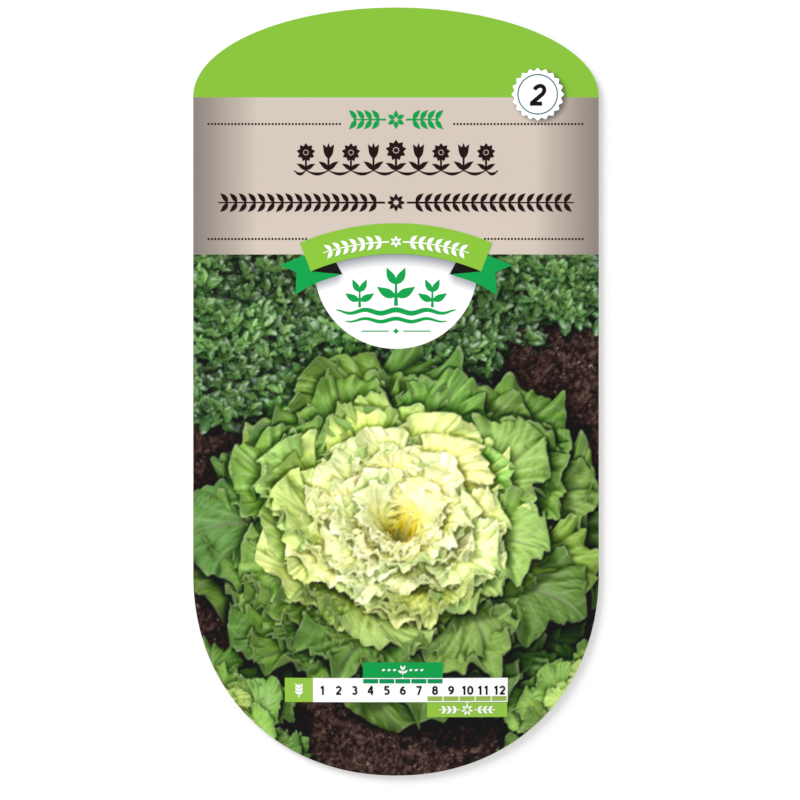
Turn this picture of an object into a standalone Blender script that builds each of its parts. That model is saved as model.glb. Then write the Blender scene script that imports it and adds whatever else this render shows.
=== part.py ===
"""A die-cut seed packet, lying on its back with the printed face up.

Two card panels of one outline are bonded round the rim by a flat ring of adhesive. Between them
lies a small paper sachet, and the bed of chicory seeds in it makes the front panel bulge. The origin
is under the middle of the packet, on the surface that it lies on, and +Y points to the packet's top.
"""

import math
import random

import bmesh
import bpy
from mathutils import Matrix, Vector

MM = 0.001

# The die-cut outline: straight sides between two rounded ends
PACKET_WIDTH = 85 * MM
PACKET_HEIGHT = 161 * MM
TOP_DEPTH = 18.6 * MM  # the rounded top is half an ellipse of this height
TOP_POWER = 2.0
BOTTOM_DEPTH = 42.3 * MM  # the rounded bottom is almost a half circle, a little fuller
BOTTOM_POWER = 2.1
TOP_LINE = PACKET_HEIGHT / 2 - TOP_DEPTH
BOTTOM_LINE = -PACKET_HEIGHT / 2 + BOTTOM_DEPTH

# Where one printed colour ends and the next begins, going up: picture, title panel, cap
PICTURE_LINE = 28.7 * MM
CAP_LINE = TOP_LINE

# Thicknesses and the gaps between the layers
CARD = 0.3 * MM
PAPER = 0.2 * MM
GAP = 0.3 * MM
ADHESIVE = 0.1 * MM
RIM_UNDERSIDE = CARD + GAP  # the front panel's underside, where it is flat

# The bonded rim, and the bulge inside it
RIM = 5.5 * MM
BULGE_MIDDLE = -18 * MM
BULGE_REACH = 57 * MM  # from its middle to where the panel is flat again, along the packet

# The inner sachet, with its own flat edge, and the bed of seeds
SACHET_WIDTH = 50 * MM
SACHET_HEIGHT = 74 * MM
SACHET_EDGE = 3 * MM
SEED_LENGTH = 2.9 * MM
SEED_WIDTH = 1.3 * MM
SEED_BLUNT_END = 0.73 * MM  # across the narrow end
SEED_FLATNESS = 0.75  # thickness over width
BED_WIDTH = 30 * MM
BED_HEIGHT = 44 * MM
BED_RISE = 1.8 * MM
SEEDS_BELOW = 30
SEEDS_ABOVE = 180
SEED_DRAW = 7
CORE_INSET = 0.8 * MM
CORE_RISE = 0.6 * MM
CORE_MIDDLE = 0.75 * MM  # the core's middle over the bed's underside

SACHET_BASE = CARD + GAP
BED_BASE = SACHET_BASE + PAPER + GAP
SACHET_RISE = BED_RISE + GAP
BULGE = BED_BASE + SACHET_RISE + PAPER + GAP - RIM_UNDERSIDE

# How finely the curved sheets and outlines are divided
PANEL_COLUMNS = 22
SACHET_COLUMNS = 16
SACHET_ROWS = 22
BOTTOM_ROWS = 13
PICTURE_ROWS = 18
TITLE_ROWS = 8
TOP_ROWS = 9


def clear_scene():
    for obj in list(bpy.data.objects):
        bpy.data.objects.remove(obj)


def new_collection(name):
    collection = bpy.data.collections.new(name)
    bpy.context.scene.collection.children.link(collection)
    return collection


def principled(name, colour, roughness, metallic=0.0):
    material = bpy.data.materials.new(name)
    material.use_nodes = True
    shader = material.node_tree.nodes["Principled BSDF"]
    shader.inputs["Base Color"].default_value = (*colour, 1.0)
    shader.inputs["Roughness"].default_value = roughness
    shader.inputs["Metallic"].default_value = metallic
    return material


def half_width(y):
    """Half the packet's width at height y: a half ellipse, or a fuller one, narrows each end."""
    if y > TOP_LINE:
        share, power = (y - TOP_LINE) / TOP_DEPTH, TOP_POWER
    elif y < BOTTOM_LINE:
        share, power = (BOTTOM_LINE - y) / BOTTOM_DEPTH, BOTTOM_POWER
    else:
        return PACKET_WIDTH / 2
    return PACKET_WIDTH / 2 * max(0.0, 1 - share**power) ** (1 / power)


def end_rows(line, depth, power, count):
    """Heights through a rounded end, from its tip to its line, closer together at the tip."""
    return [
        line + depth * math.cos(math.pi / 2 * step / count) ** (2 / power)
        for step in range(count)
    ]


def even_rows(low, high, count):
    return [low + (high - low) * step / count for step in range(count)]


def panel_rows():
    """The heights of a panel's mesh rows, bottom to top, with one on each printed border."""
    bottom = end_rows(BOTTOM_LINE, -BOTTOM_DEPTH, BOTTOM_POWER, BOTTOM_ROWS)
    picture = even_rows(BOTTOM_LINE, PICTURE_LINE, PICTURE_ROWS)
    title = even_rows(PICTURE_LINE, TOP_LINE, TITLE_ROWS)
    top = end_rows(TOP_LINE, TOP_DEPTH, TOP_POWER, TOP_ROWS)
    return bottom + picture + title + [TOP_LINE] + top[::-1]


def hump(share):
    """1 in the middle and flat at both ends, where share is -1 or 1: a pillow's profile."""
    return max(0.0, 1 - share**4) ** 2


def panel_rise(x, y):
    """How far the front panel stands above its rim. It is flat over the whole bonded rim."""
    across = x / max(half_width(y) - RIM, RIM)
    along = (y - BULGE_MIDDLE) / BULGE_REACH
    if abs(across) >= 1 or abs(along) >= 1:
        return 0.0
    return BULGE * hump(across) * hump(along)


def sachet_rise(x, y):
    """How far the sachet's front stands above its own flat edge."""
    across = x / (SACHET_WIDTH / 2 - SACHET_EDGE)
    along = (y - BULGE_MIDDLE) / (SACHET_HEIGHT / 2 - SACHET_EDGE)
    if abs(across) >= 1 or abs(along) >= 1:
        return 0.0
    return SACHET_RISE * hump(across) * hump(along)


def curved_sheet(name, columns, rows, place, thickness, materials, collection):
    """A grid whose every point is moved by place(column share, row number), thickened upwards."""
    bpy.ops.mesh.primitive_grid_add(
        x_subdivisions=columns, y_subdivisions=rows, size=2
    )
    sheet = bpy.context.object
    sheet.name = sheet.data.name = name
    mesh = bmesh.new()
    mesh.from_mesh(sheet.data)
    for vertex in mesh.verts:
        vertex.co = place(vertex.co.x, round((vertex.co.y + 1) / 2 * rows))
    # A rounded end narrows to nothing, so its last row becomes one point
    bmesh.ops.remove_doubles(mesh, verts=mesh.verts, dist=0.001 * MM)
    mesh.to_mesh(sheet.data)
    mesh.free()
    for material in materials:
        sheet.data.materials.append(material)
    solid = sheet.modifiers.new("thickness", "SOLIDIFY")
    solid.thickness = thickness
    solid.offset = 1
    sheet.data.shade_smooth()
    move_to(sheet, collection)
    return sheet


def move_to(obj, collection):
    for other in list(obj.users_collection):
        other.objects.unlink(obj)
    collection.objects.link(obj)


def flat_plate(name, loops, base, thickness, material, collection):
    """A plate cut along the loops, the first of them its outer edge, from base upwards."""
    outline = bpy.data.curves.new(name, "CURVE")
    outline.dimensions = "2D"
    outline.fill_mode = "BOTH"
    outline.extrude = thickness / 2
    for points in loops:
        spline = outline.splines.new("POLY")
        spline.points.add(len(points) - 1)
        spline.use_cyclic_u = True
        for point, (x, y) in zip(spline.points, points):
            point.co = (x, y, 0, 1)
    outline.materials.append(material)
    plate = bpy.data.objects.new(name, outline)
    plate.location.z = base + thickness / 2
    collection.objects.link(plate)
    return plate


def packet_loop(inset=0.0):
    """The packet's outline, anticlockwise from the bottom tip, moved inwards by inset."""
    rows = panel_rows()
    right = [Vector((half_width(y), y)) for y in rows]
    left = [Vector((-half_width(y), y)) for y in rows[-2:0:-1]]
    loop = right + left
    moved = []
    for number, point in enumerate(loop):
        before, after = loop[number - 1], loop[(number + 1) % len(loop)]
        along = (after - before).normalized()
        moved.append(point + inset * Vector((-along.y, along.x)))
    return [tuple(point) for point in moved]


def make_back_panel(collection):
    card = principled("back_card", (0.86, 0.85, 0.80), 0.7)
    return flat_plate("back_panel", [packet_loop()], 0.0, CARD, card, collection)


def make_front_panel(collection):
    """The printed panel. Its mesh rows lie on the printed borders, so each face is of one colour."""
    colours = [
        principled("printed_picture", (0.15, 0.27, 0.06), 0.4),
        principled("printed_title_panel", (0.68, 0.60, 0.51), 0.4),
        principled("printed_cap", (0.27, 0.57, 0.05), 0.4),
    ]
    rows = panel_rows()

    def place(across, row):
        y = rows[row]
        x = across * half_width(y)
        return Vector((x, y, RIM_UNDERSIDE + panel_rise(x, y)))

    panel = curved_sheet(
        "front_panel", PANEL_COLUMNS, len(rows) - 1, place, CARD, colours, collection
    )
    for face in panel.data.polygons:
        height = face.center.y
        face.material_index = int(height > PICTURE_LINE) + int(height > CAP_LINE)
    return panel


def make_rim_adhesive(collection):
    """The flat ring that bonds the panels, midway in the gap between them and short of their edge."""
    adhesive = principled("adhesive", (0.80, 0.78, 0.70), 0.3)
    edge_inset = 0.4 * MM
    outer, inner = packet_loop(edge_inset), packet_loop(RIM - edge_inset)
    base = CARD + (GAP - ADHESIVE) / 2
    return flat_plate("rim_adhesive", [outer, inner], base, ADHESIVE, adhesive, collection)


def make_sachet(collection):
    paper = principled("sachet_paper", (0.84, 0.80, 0.70), 0.75)
    right, low = SACHET_WIDTH / 2, BULGE_MIDDLE - SACHET_HEIGHT / 2
    high = low + SACHET_HEIGHT
    corners = [(-right, low), (right, low), (right, high), (-right, high)]
    back = flat_plate("sachet_back", [corners], SACHET_BASE, PAPER, paper, collection)

    def place(across, row):
        x = across * right
        y = low + SACHET_HEIGHT * row / SACHET_ROWS
        return Vector((x, y, BED_BASE + sachet_rise(x, y)))

    front = curved_sheet(
        "sachet_front", SACHET_COLUMNS, SACHET_ROWS, place, PAPER, [paper], collection
    )
    return back, front


def seed_mesh(material):
    """One chicory seed: a short five-sided wedge, cut square at its wide end and blunt at the other."""
    bpy.ops.mesh.primitive_cone_add(
        vertices=5, radius1=SEED_BLUNT_END / 2, radius2=SEED_WIDTH / 2, depth=SEED_LENGTH
    )
    pattern = bpy.context.object
    mesh = pattern.data
    mesh.name = "seed"
    # The seed lies along X and is a little flat
    mesh.transform(Matrix.Rotation(math.pi / 2, 4, "Y"))
    mesh.transform(Matrix.Diagonal((1, 1, SEED_FLATNESS, 1)))
    mesh.materials.append(material)
    mesh.use_fake_user = True
    bpy.data.objects.remove(pattern)
    return mesh


def bed_top(x, y):
    """The height of the seed bed over its base: one seed deep at its edge and BED_RISE in the middle."""
    edge_depth = SEED_WIDTH
    share = (2 * x / BED_WIDTH) ** 2 + (2 * y / BED_HEIGHT) ** 2
    return edge_depth + (BED_RISE - edge_depth) * max(0.0, 1 - share)


def spiral(count):
    """Points spread evenly over the bed's oval, by the golden angle, drawn in so that no seed sticks out."""
    golden = math.pi * (3 - math.sqrt(5))
    reach_x = BED_WIDTH / 2 - SEED_LENGTH / 2
    reach_y = BED_HEIGHT / 2 - SEED_LENGTH / 2
    for number in range(count):
        radius = math.sqrt((number + 0.5) / count)
        angle = number * golden
        yield reach_x * radius * math.cos(angle), reach_y * radius * math.sin(angle)


def make_seeds(collection, tools):
    """A bed of seeds, fused to a thin core that they stand out of, above and below."""
    husk = principled("seed_husk", (0.42, 0.30, 0.17), 0.8)
    draw = random.Random(SEED_DRAW)
    pattern = seed_mesh(husk)
    most_tilt = math.radians(6)
    half_thick = SEED_WIDTH * SEED_FLATNESS / 2 + SEED_LENGTH / 2 * math.sin(most_tilt)

    bpy.ops.mesh.primitive_uv_sphere_add(segments=20, ring_count=8, radius=1)
    core = bpy.context.object
    core.name = core.data.name = "seeds"
    core_half = (BED_WIDTH / 2 - CORE_INSET, BED_HEIGHT / 2 - CORE_INSET, CORE_RISE / 2)
    core.data.transform(Matrix.Diagonal((*core_half, 1)))
    core.data.transform(Matrix.Translation((0, BULGE_MIDDLE, BED_BASE + CORE_MIDDLE)))
    core.data.materials.append(husk)
    move_to(core, collection)

    layers = [(x, y, half_thick) for x, y in spiral(SEEDS_BELOW)]
    layers += [(x, y, bed_top(x, y) - half_thick) for x, y in spiral(SEEDS_ABOVE)]
    for number, (x, y, z) in enumerate(layers):
        seed = bpy.data.objects.new(f"seed_{number:03d}", pattern)
        roll, heading = draw.uniform(0, math.tau), draw.uniform(0, math.tau)
        seed.rotation_euler = (roll, draw.uniform(-most_tilt, most_tilt), heading)
        seed.location = (x, y + BULGE_MIDDLE, BED_BASE + z)
        tools.objects.link(seed)

    union = core.modifiers.new("fused seeds", "BOOLEAN")
    union.operation = "UNION"
    union.operand_type = "COLLECTION"
    union.collection = tools
    union.solver = "MANIFOLD"
    bpy.context.view_layer.objects.active = core
    bpy.ops.object.modifier_apply(modifier=union.name)
    for seed in list(tools.objects):
        bpy.data.objects.remove(seed)
    bpy.data.meshes.remove(pattern)
    bpy.data.collections.remove(tools)
    return core


def main():
    clear_scene()
    packet = new_collection("seed_packet")
    tools = new_collection("tools")
    make_back_panel(packet)
    make_rim_adhesive(packet)
    make_sachet(packet)
    make_seeds(packet, tools)
    make_front_panel(packet)


main()
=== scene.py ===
# %% [markdown]
# # A seed packet, from its card to its last printed dot
# The packet lies on its back with the printed face up. Two cards of one outline are bonded round the
# rim, and a small sachet of seeds between them makes the front card bulge. The packed model gives the
# bodies and where they lie. Everything here is laid over it, in the same frame.
#
# The sums are in millimetres, because that is how a packet is drawn. The meshes are in metres.

# %% Load the packed model
import math

import bmesh
import bpy
import numpy as np
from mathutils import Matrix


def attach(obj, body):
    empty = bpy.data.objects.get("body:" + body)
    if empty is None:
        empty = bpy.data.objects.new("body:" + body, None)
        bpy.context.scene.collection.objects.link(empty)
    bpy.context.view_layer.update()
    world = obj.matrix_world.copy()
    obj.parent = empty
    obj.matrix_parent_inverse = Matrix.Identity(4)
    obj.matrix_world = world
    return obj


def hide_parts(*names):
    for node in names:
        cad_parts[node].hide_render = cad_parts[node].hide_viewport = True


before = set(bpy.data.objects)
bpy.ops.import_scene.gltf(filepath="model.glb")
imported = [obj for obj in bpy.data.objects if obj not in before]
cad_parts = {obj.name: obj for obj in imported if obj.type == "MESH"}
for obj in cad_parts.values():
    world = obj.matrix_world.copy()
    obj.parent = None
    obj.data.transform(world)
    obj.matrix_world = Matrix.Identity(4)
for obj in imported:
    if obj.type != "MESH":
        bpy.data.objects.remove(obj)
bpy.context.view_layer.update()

MM = 0.001
print("nodes:", sorted(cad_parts))

# %% [markdown]
# ## The die-cut outline
# Both cards are cut by one die: straight sides between a shallow half ellipse at the top and a deep,
# almost round bottom. A superellipse, which is an ellipse with another power than 2, gives the bottom
# its slightly fuller shoulders. These values are the packed model's own.

# %% The outline and the bulge as functions
HALF_WIDTH = 42.5
HALF_HEIGHT = 80.5
TOP_DEPTH, TOP_POWER = 18.6, 2.0
BOTTOM_DEPTH, BOTTOM_POWER = 42.3, 2.1
CAP_LINE = HALF_HEIGHT - TOP_DEPTH
BOTTOM_LINE = BOTTOM_DEPTH - HALF_HEIGHT
PICTURE_LINE = 28.7
CAP_FOOT = 61.65
CARD = 0.3
RIM_UNDERSIDE = 0.6
RIM = 5.5
BULGE = 3.1
BULGE_MIDDLE, BULGE_REACH = -18.0, 57.0


def half_width(y):
    """Half the packet's width at height y: (1 - share^power)^(1/power) of the full one, in each end."""
    high = np.clip((y - CAP_LINE) / TOP_DEPTH, 0, 1)
    low = np.clip((BOTTOM_LINE - y) / BOTTOM_DEPTH, 0, 1)
    narrow = (1 - high**TOP_POWER) ** (1 / TOP_POWER) * (1 - low**BOTTOM_POWER) ** (1 / BOTTOM_POWER)
    return HALF_WIDTH * narrow


def hump(share):
    """A pillow's profile, (1 - share^4)^2: 1 in the middle, and flat where share is -1 or 1."""
    return (1 - np.clip(share, -1, 1) ** 4) ** 2


def rise(x, y):
    """How far the front card stands above its rim: one hump across times one hump along."""
    across = x / np.maximum(half_width(y) - RIM, RIM)
    return BULGE * hump(across) * hump((y - BULGE_MIDDLE) / BULGE_REACH)


def printed_face(x, y):
    """The height of the front card's printed face over (x, y)."""
    return RIM_UNDERSIDE + CARD + rise(x, y)


print("width at the middle:", 2 * half_width(0.0), "top of the bulge:", printed_face(0.0, BULGE_MIDDLE))

# %% [markdown]
# ## Thin closed slabs
# Card, paper and ink are all thin sheets, so one function builds them. It takes a grid of points for
# the upper face and another for the lower face, and walls the two together. The lower grid may be
# coarser by a whole number, because nobody sees the back of a layer of ink: each wall triangle then
# fans to the nearest corner below, so the slab is still closed.


# %% Slabs from grids
def wall(upper, lower, coarse):
    """Triangles between a fine ring and the ring below it that keeps every coarse-th point."""
    count = len(upper)
    step = np.arange(count)
    nearest = step // coarse + (step % coarse >= (coarse + 1) // 2)
    fans = np.stack([lower[nearest % len(lower)], upper[(step + 1) % count], upper[step]], 1)
    group = np.arange(len(lower))
    middle = upper[(group * coarse + (coarse + 1) // 2) % count]
    return np.concatenate([fans, np.stack([lower, lower[(group + 1) % len(lower)], middle], 1)])


def quads(index, wrap):
    """The four-sided faces of a grid of point numbers, facing up where rows run along +Y."""
    if wrap:
        index = np.concatenate([index, index[:, :1]], 1)
    return np.stack([index[:-1, :-1], index[:-1, 1:], index[1:, 1:], index[1:, :-1]], -1).reshape(-1, 4)


def rings(index, wrap):
    """The border of a grid as rings of point numbers, with the grid on the left of each."""
    if wrap:
        return [index[0], index[-1, ::-1]]
    return [np.concatenate([index[0, :-1], index[:-1, -1], index[-1, :0:-1], index[:0:-1, 0]])]


def slab(upper, lower, coarse=1, wrap=False, start=0):
    """Points and faces of a closed slab between two grids of points, numbered from start."""
    top = start + np.arange(upper.shape[0] * upper.shape[1]).reshape(upper.shape[:2])
    base = start + top.size + np.arange(lower.shape[0] * lower.shape[1]).reshape(lower.shape[:2])
    faces = quads(top, wrap).tolist() + quads(base, wrap)[:, ::-1].tolist()
    for above, below in zip(rings(top, wrap), rings(base, wrap)):
        faces += wall(above, below, coarse).tolist()
    return np.concatenate([upper.reshape(-1, 3), lower.reshape(-1, 3)]), faces


print("a slab of one cell has", len(slab(np.zeros((2, 2, 3)), np.zeros((2, 2, 3)))[1]), "faces")

# %% Pieces from points and faces
WELD = 0.0004 * MM  # points nearer to each other than this become one
SHARP = math.radians(40)  # edges that turn more than this stay sharp


def new_piece(name, points, faces, finish, slot, colours=None, flat_map=None):
    """An object of these points, in millimetres, welded where a rounded end or a pole closes."""
    mesh = bpy.data.meshes.new(name)
    mesh.from_pydata((points * MM).tolist(), [], faces)
    if colours is not None:
        layer = mesh.attributes.new("print", "FLOAT_COLOR", "POINT")
        layer.data.foreach_set("color", np.column_stack([colours, np.ones(len(points))]).ravel())
    if flat_map is not None:
        corner = np.empty(len(mesh.loops), int)
        mesh.loops.foreach_get("vertex_index", corner)
        mesh.uv_layers.new(name="OFBake").data.foreach_set("uv", flat_map(corner).ravel())
    work = bmesh.new()
    work.from_mesh(mesh)
    bmesh.ops.remove_doubles(work, verts=work.verts, dist=WELD)
    loose = [edge for edge in work.edges if not edge.link_faces]
    bmesh.ops.delete(work, geom=loose, context="EDGES")
    work.to_mesh(mesh)
    work.free()
    mesh.shade_smooth()
    mesh.set_sharp_from_angle(angle=SHARP)
    mesh.materials.append(finish)
    piece = bpy.data.objects.new(name, mesh)
    bpy.context.scene.collection.objects.link(piece)
    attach(piece, "root")
    return piece


print("edges sharper than", round(math.degrees(SHARP)), "degrees stay sharp")

# %% [markdown]
# ## Shader sums as Python
# A procedural finish is mostly arithmetic on positions and noises. The class Wire lets that
# arithmetic be written as ordinary Python, and Finish.add places any other node.


# %% Wires
class Wire:
    """One output of a node, which can be added, multiplied or raised to a power like a number."""

    def __init__(self, finish, socket):
        self.finish, self.socket = finish, socket

    def sum(self, operation, *values):
        """A Math node with these numbers or wires on its sockets, in order."""
        return self.finish.add("Math", {"operation": operation}, dict(enumerate(values)))

    def __add__(self, other):
        return self.sum("ADD", self, other)

    def __sub__(self, other):
        return self.sum("SUBTRACT", self, other)

    def __rsub__(self, other):
        return self.sum("SUBTRACT", other, self)

    def __mul__(self, other):
        return self.sum("MULTIPLY", self, other)

    def __truediv__(self, other):
        return self.sum("DIVIDE", self, other)

    def __pow__(self, other):
        return self.sum("POWER", self, other)

    def __abs__(self):
        return self.sum("ABSOLUTE", self)

    __radd__ = __add__
    __rmul__ = __mul__

    def at_least(self, other):
        return self.sum("MAXIMUM", self, other)

    def at_most(self, other):
        return self.sum("MINIMUM", self, other)

    def fraction(self):
        return self.sum("FRACT", self)

    def sine(self):
        return self.sum("SINE", self)

    def ramp(self, low, high):
        """0 up to low, 1 from high on, and a smooth S between them."""
        spread = {"Value": self, "From Min": low, "From Max": high}
        return self.finish.add("MapRange", {"interpolation_type": "SMOOTHSTEP"}, spread)


print("besides its operators, a wire has:", [name for name in vars(Wire) if name[0] != "_"])


# %% Finishes
class Finish:
    """A material in the making. Its surface is a Principled shader with fixed numbers on its sockets."""

    def __init__(self, name, **fixed):
        self.material = bpy.data.materials.new(name)
        self.material.use_nodes = True
        self.tree = self.material.node_tree
        self.surface = self.tree.nodes["Principled BSDF"]
        for socket, value in fixed.items():
            self.surface.inputs[socket.replace("_", " ")].default_value = value

    def add(self, kind, settings=None, sockets=None, output=0):
        """Any node: its type, its settings, the values or wires of its sockets, and one output."""
        node = self.tree.nodes.new("ShaderNode" + kind)
        for name, value in (settings or {}).items():
            setattr(node, name, value)
        for name, value in (sockets or {}).items():
            self.feed(node.inputs[name], value)
        return Wire(self, node.outputs[output])

    def feed(self, socket, value):
        """Link a wire to a socket, or give the socket a fixed value. Colours have a fourth part, 1."""
        if isinstance(value, Wire):
            self.tree.links.new(value.socket, socket)
        elif isinstance(value, tuple) and socket.type == "RGBA":
            socket.default_value = (*value[:3], 1.0)
        else:
            socket.default_value = value

    def place(self):
        """Where a point lies on the object, in millimetres, as a vector."""
        metres = self.add("TexCoord", output="Object")
        return self.add("VectorMath", {"operation": "SCALE"}, {0: metres, "Scale": 1 / MM})

    def facing(self):
        """How far the surface faces up: the z of its normal, from -1 to 1."""
        return self.parts(self.add("NewGeometry", output="Normal"))[2]

    def parts(self, vector):
        """The x, y and z of a vector, each as a wire."""
        node = self.add("SeparateXYZ", sockets={0: vector}).socket.node
        return [Wire(self, socket) for socket in node.outputs]

    def stretch(self, vector, along):
        """The vector with its y times along: below 1, a noise of it runs long in Y, like fibres."""
        return self.add("Mapping", {}, {"Vector": vector, "Scale": (1.0, along, 1.0)})

    def noise(self, vector, scale, detail=3.0, roughness=0.55):
        """A random cloud from 0 to 1, with scale patches to the unit and finer ones for each detail."""
        sockets = {"Vector": vector, "Scale": scale, "Detail": detail, "Roughness": roughness}
        return self.add("TexNoise", {}, sockets)

    def mix(self, share, first, second):
        """A colour that goes from first to second with the share. 6 and 7 are the node's colour sockets."""
        return self.add("Mix", {"data_type": "RGBA"}, {0: share, 6: first, 7: second}, output=2)

    def bump(self, height, strength, distance):
        """The normal of a surface that a height from 0 to 1 raises by up to distance, in metres."""
        sockets = {"Height": height, "Strength": strength, "Distance": distance}
        return self.add("Bump", {}, sockets)

    def wear(self, **wires):
        """Feed the surface's sockets, and hand the material over."""
        for socket, value in wires.items():
            self.feed(self.surface.inputs[socket.replace("_", " ")], value)
        return self.material


print("a finish has:", [name for name in vars(Finish) if name[0] != "_"])

# %% Colours in this light
STUDIO = 1.14  # how much brighter than 1 the light on the packet is
VARNISH = 0.0085  # how much white the varnish's sheen adds to black


def linear(red, green, blue):
    """An sRGB colour of 0 to 255, as it should look in this studio, in linear light."""
    share = np.array([red, green, blue]) / 255
    return np.where(share <= 0.04045, share / 12.92, ((share + 0.055) / 1.055) ** 2.4) / STUDIO


def printed(light):
    """A linear colour less the white that the varnish will add to it, which is least on light colours."""
    return np.clip(light - VARNISH * (1 - light), 0, 0.95)


def ink(red, green, blue):
    """What to print so that it looks like this sRGB colour: its linear light, less the sheen."""
    return tuple(printed(linear(red, green, blue)).tolist())


def shaded(colour, share):
    """The colour with each part times share."""
    return tuple(share * part for part in colour)


print("lime ink in linear light:", [round(value, 3) for value in ink(141, 199, 64)])

# %% [markdown]
# ## The paper and the inks
# A seed packet is coated card with a satin varnish: the inks lie flat, the card's fibre just shows as a
# very fine unevenness, and the sheen is broad. Each solid ink is one finish: a colour that clouds by
# a few per cent, as offset ink does, over the same fine paper tooth.

# %% Inks
SHEEN = {"Specular_IOR_Level": 0.16, "IOR": 1.45}
SATIN = 0.46  # the varnish's roughness, which the inks and the card vary a little


def paper_tooth(finish, place, depth=0.004):
    """The card's fibre seen through the varnish: two fine noises, as a bump."""
    fibre = finish.noise(finish.stretch(place, 0.35), 3.2, 4.0) + finish.noise(place, 9.0, 2.0) * 0.5
    return finish.bump(fibre, 0.35, depth * MM)


def solid_ink(name, colour, cloud=0.05):
    """One even ink: wide soft clouds and fine specks make its colour a little darker or lighter."""
    finish = Finish(name, **SHEEN)
    place = finish.place()
    cloudy = (finish.noise(place, 0.22, 5.0) - 0.5) * (2 * cloud) + (finish.noise(place, 6.0) - 0.5) * cloud
    shade = finish.mix(0.5 + cloudy, shaded(colour, 0.9), shaded(colour, 1.1))
    rough = SATIN + (finish.noise(place, 1.6) - 0.5) * 0.1
    return finish.wear(Base_Color=shade, Roughness=rough, Normal=paper_tooth(finish, place))


LIME = ink(141, 199, 64)
EMERALD = ink(0, 165, 80)
BROWN = ink(38, 26, 20)
WHITE = (0.93, 0.93, 0.93)
INKS = {
    "white": solid_ink("white_ink", WHITE, 0.01),
    "lime": solid_ink("lime_ink", LIME),
    "emerald": solid_ink("emerald_ink", EMERALD),
    "light_lime": solid_ink("light_lime_ink", ink(152, 201, 74)),
    "dull_lime": solid_ink("dull_lime_ink", ink(158, 190, 88)),
    "dull_emerald": solid_ink("dull_emerald_ink", ink(20, 152, 92)),
    "brown": solid_ink("brown_ink", BROWN, 0.1),
    "black": solid_ink("black_ink", ink(30, 26, 22), 0.1),
    "teal": solid_ink("teal_ink", ink(50, 112, 114)),
}
print(len(INKS), "solid inks")

# %% [markdown]
# ## The front card
# One sheet carries all the print. Its upper third is solid: a lime cap over a taupe title panel, which
# darkens towards both edges with faint upright streaks. Those are zones of one material by height and
# distance from the edge, and the card's cut edge and underside stay white.

# %% The front card's print
TAUPE = ink(217, 204, 191)
TAUPE_EDGE = ink(146, 136, 128)
SEAL_SPOT = (29.7, 62.3)
SEAL_SHADOW = (SEAL_SPOT[0] + 0.62, SEAL_SPOT[1] - 0.4)
SEAL_TIP, SEAL_ROOT = 5.55, 4.92
EDGE_BLUR = 0.08  # half the width over which one zone's colour turns to the next one's


def round_distance(x, y, middle):
    """How far a point is from a middle: the root of its two differences' squares."""
    return ((x - middle[0]) ** 2 + (y - middle[1]) ** 2) ** 0.5


def with_cap(finish, place, y, colour, cloud):
    """The colour up to the cap's foot, and from there the lime, which clouds by this much."""
    cloudy = (finish.noise(place, 0.25, 5.0) - 0.5) * cloud
    lime = finish.mix(0.5 + cloudy, shaded(LIME, 0.95), shaded(LIME, 1.05))
    return finish.mix(y.ramp(CAP_FOOT - EDGE_BLUR, CAP_FOOT + EDGE_BLUR), colour, lime)


def front_print():
    """The taupe panel, the cap and the seal's shadow: zones by height, side distance and seal distance."""
    finish = Finish("front_print", **SHEEN)
    place = finish.place()
    x, y = finish.parts(place)[:2]
    # The title panel: dark at both sides, in soft upright streaks
    streaks = finish.noise(finish.stretch(place, 0.03), 0.5, 4.0, 0.6) - 0.5
    fine = finish.noise(finish.stretch(place, 0.02), 2.6, 2.0) - 0.5
    inwards = HALF_WIDTH - abs(x) + streaks * 0.8
    dark = ((13.5 - inwards) / 12.8).at_least(0.0).at_most(1.0) ** 0.88
    taupe = finish.mix((dark + fine * 0.07).at_least(0.0).at_most(1.0), TAUPE, TAUPE_EDGE)
    # The cap, and the soft printed shadow of the seal on both
    colour = with_cap(finish, place, y, taupe, 0.16)
    reach = round_distance(x, y, SEAL_SHADOW)
    shadow = (1 - reach.ramp(SEAL_ROOT - 0.4, SEAL_TIP + 0.7)) * 0.72
    colour = finish.mix(shadow, colour, ink(60, 60, 62))
    # White board at the cut edge and underneath
    colour = finish.mix(finish.facing().ramp(0.3, 0.6), ink(236, 233, 224), colour)
    rough = SATIN + (finish.noise(place, 1.4) - 0.5) * 0.1
    return finish.wear(Base_Color=colour, Roughness=rough, Normal=paper_tooth(finish, place))


print("taupe from", [round(part, 3) for part in TAUPE], "to", [round(part, 3) for part in TAUPE_EDGE])

# %% The front card
CARD_COLUMNS = 87


def end_rows(line, depth, power, count):
    """Heights from a rounded end's line to its tip, by a sine, so that they crowd at the tip."""
    return line + depth * np.sin(np.linspace(0, np.pi / 2, count)) ** (2 / power)


# Rows from the bottom tip to the top tip. Across them, x is a share from -1 to 1 of the half width.
bottom = end_rows(BOTTOM_LINE, -BOTTOM_DEPTH, BOTTOM_POWER, 40)[::-1]
middle = np.linspace(BOTTOM_LINE, CAP_LINE, int(CAP_LINE - BOTTOM_LINE))
top = end_rows(CAP_LINE, TOP_DEPTH, TOP_POWER, 30)
CARD_ROWS = np.concatenate([bottom[:-1], middle, top[1:]])
Y = np.repeat(CARD_ROWS[:, None], CARD_COLUMNS, 1)
X = np.linspace(-1, 1, CARD_COLUMNS)[None] * half_width(Y)
FACE = np.stack([X, Y, printed_face(X, Y)], -1)
front = new_piece("front_card", *slab(FACE, FACE - [0, 0, CARD]), front_print(), "printed_card")
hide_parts("front_panel")
print("front card:", len(CARD_ROWS), "rows,", len(front.data.polygons), "faces")

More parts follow.
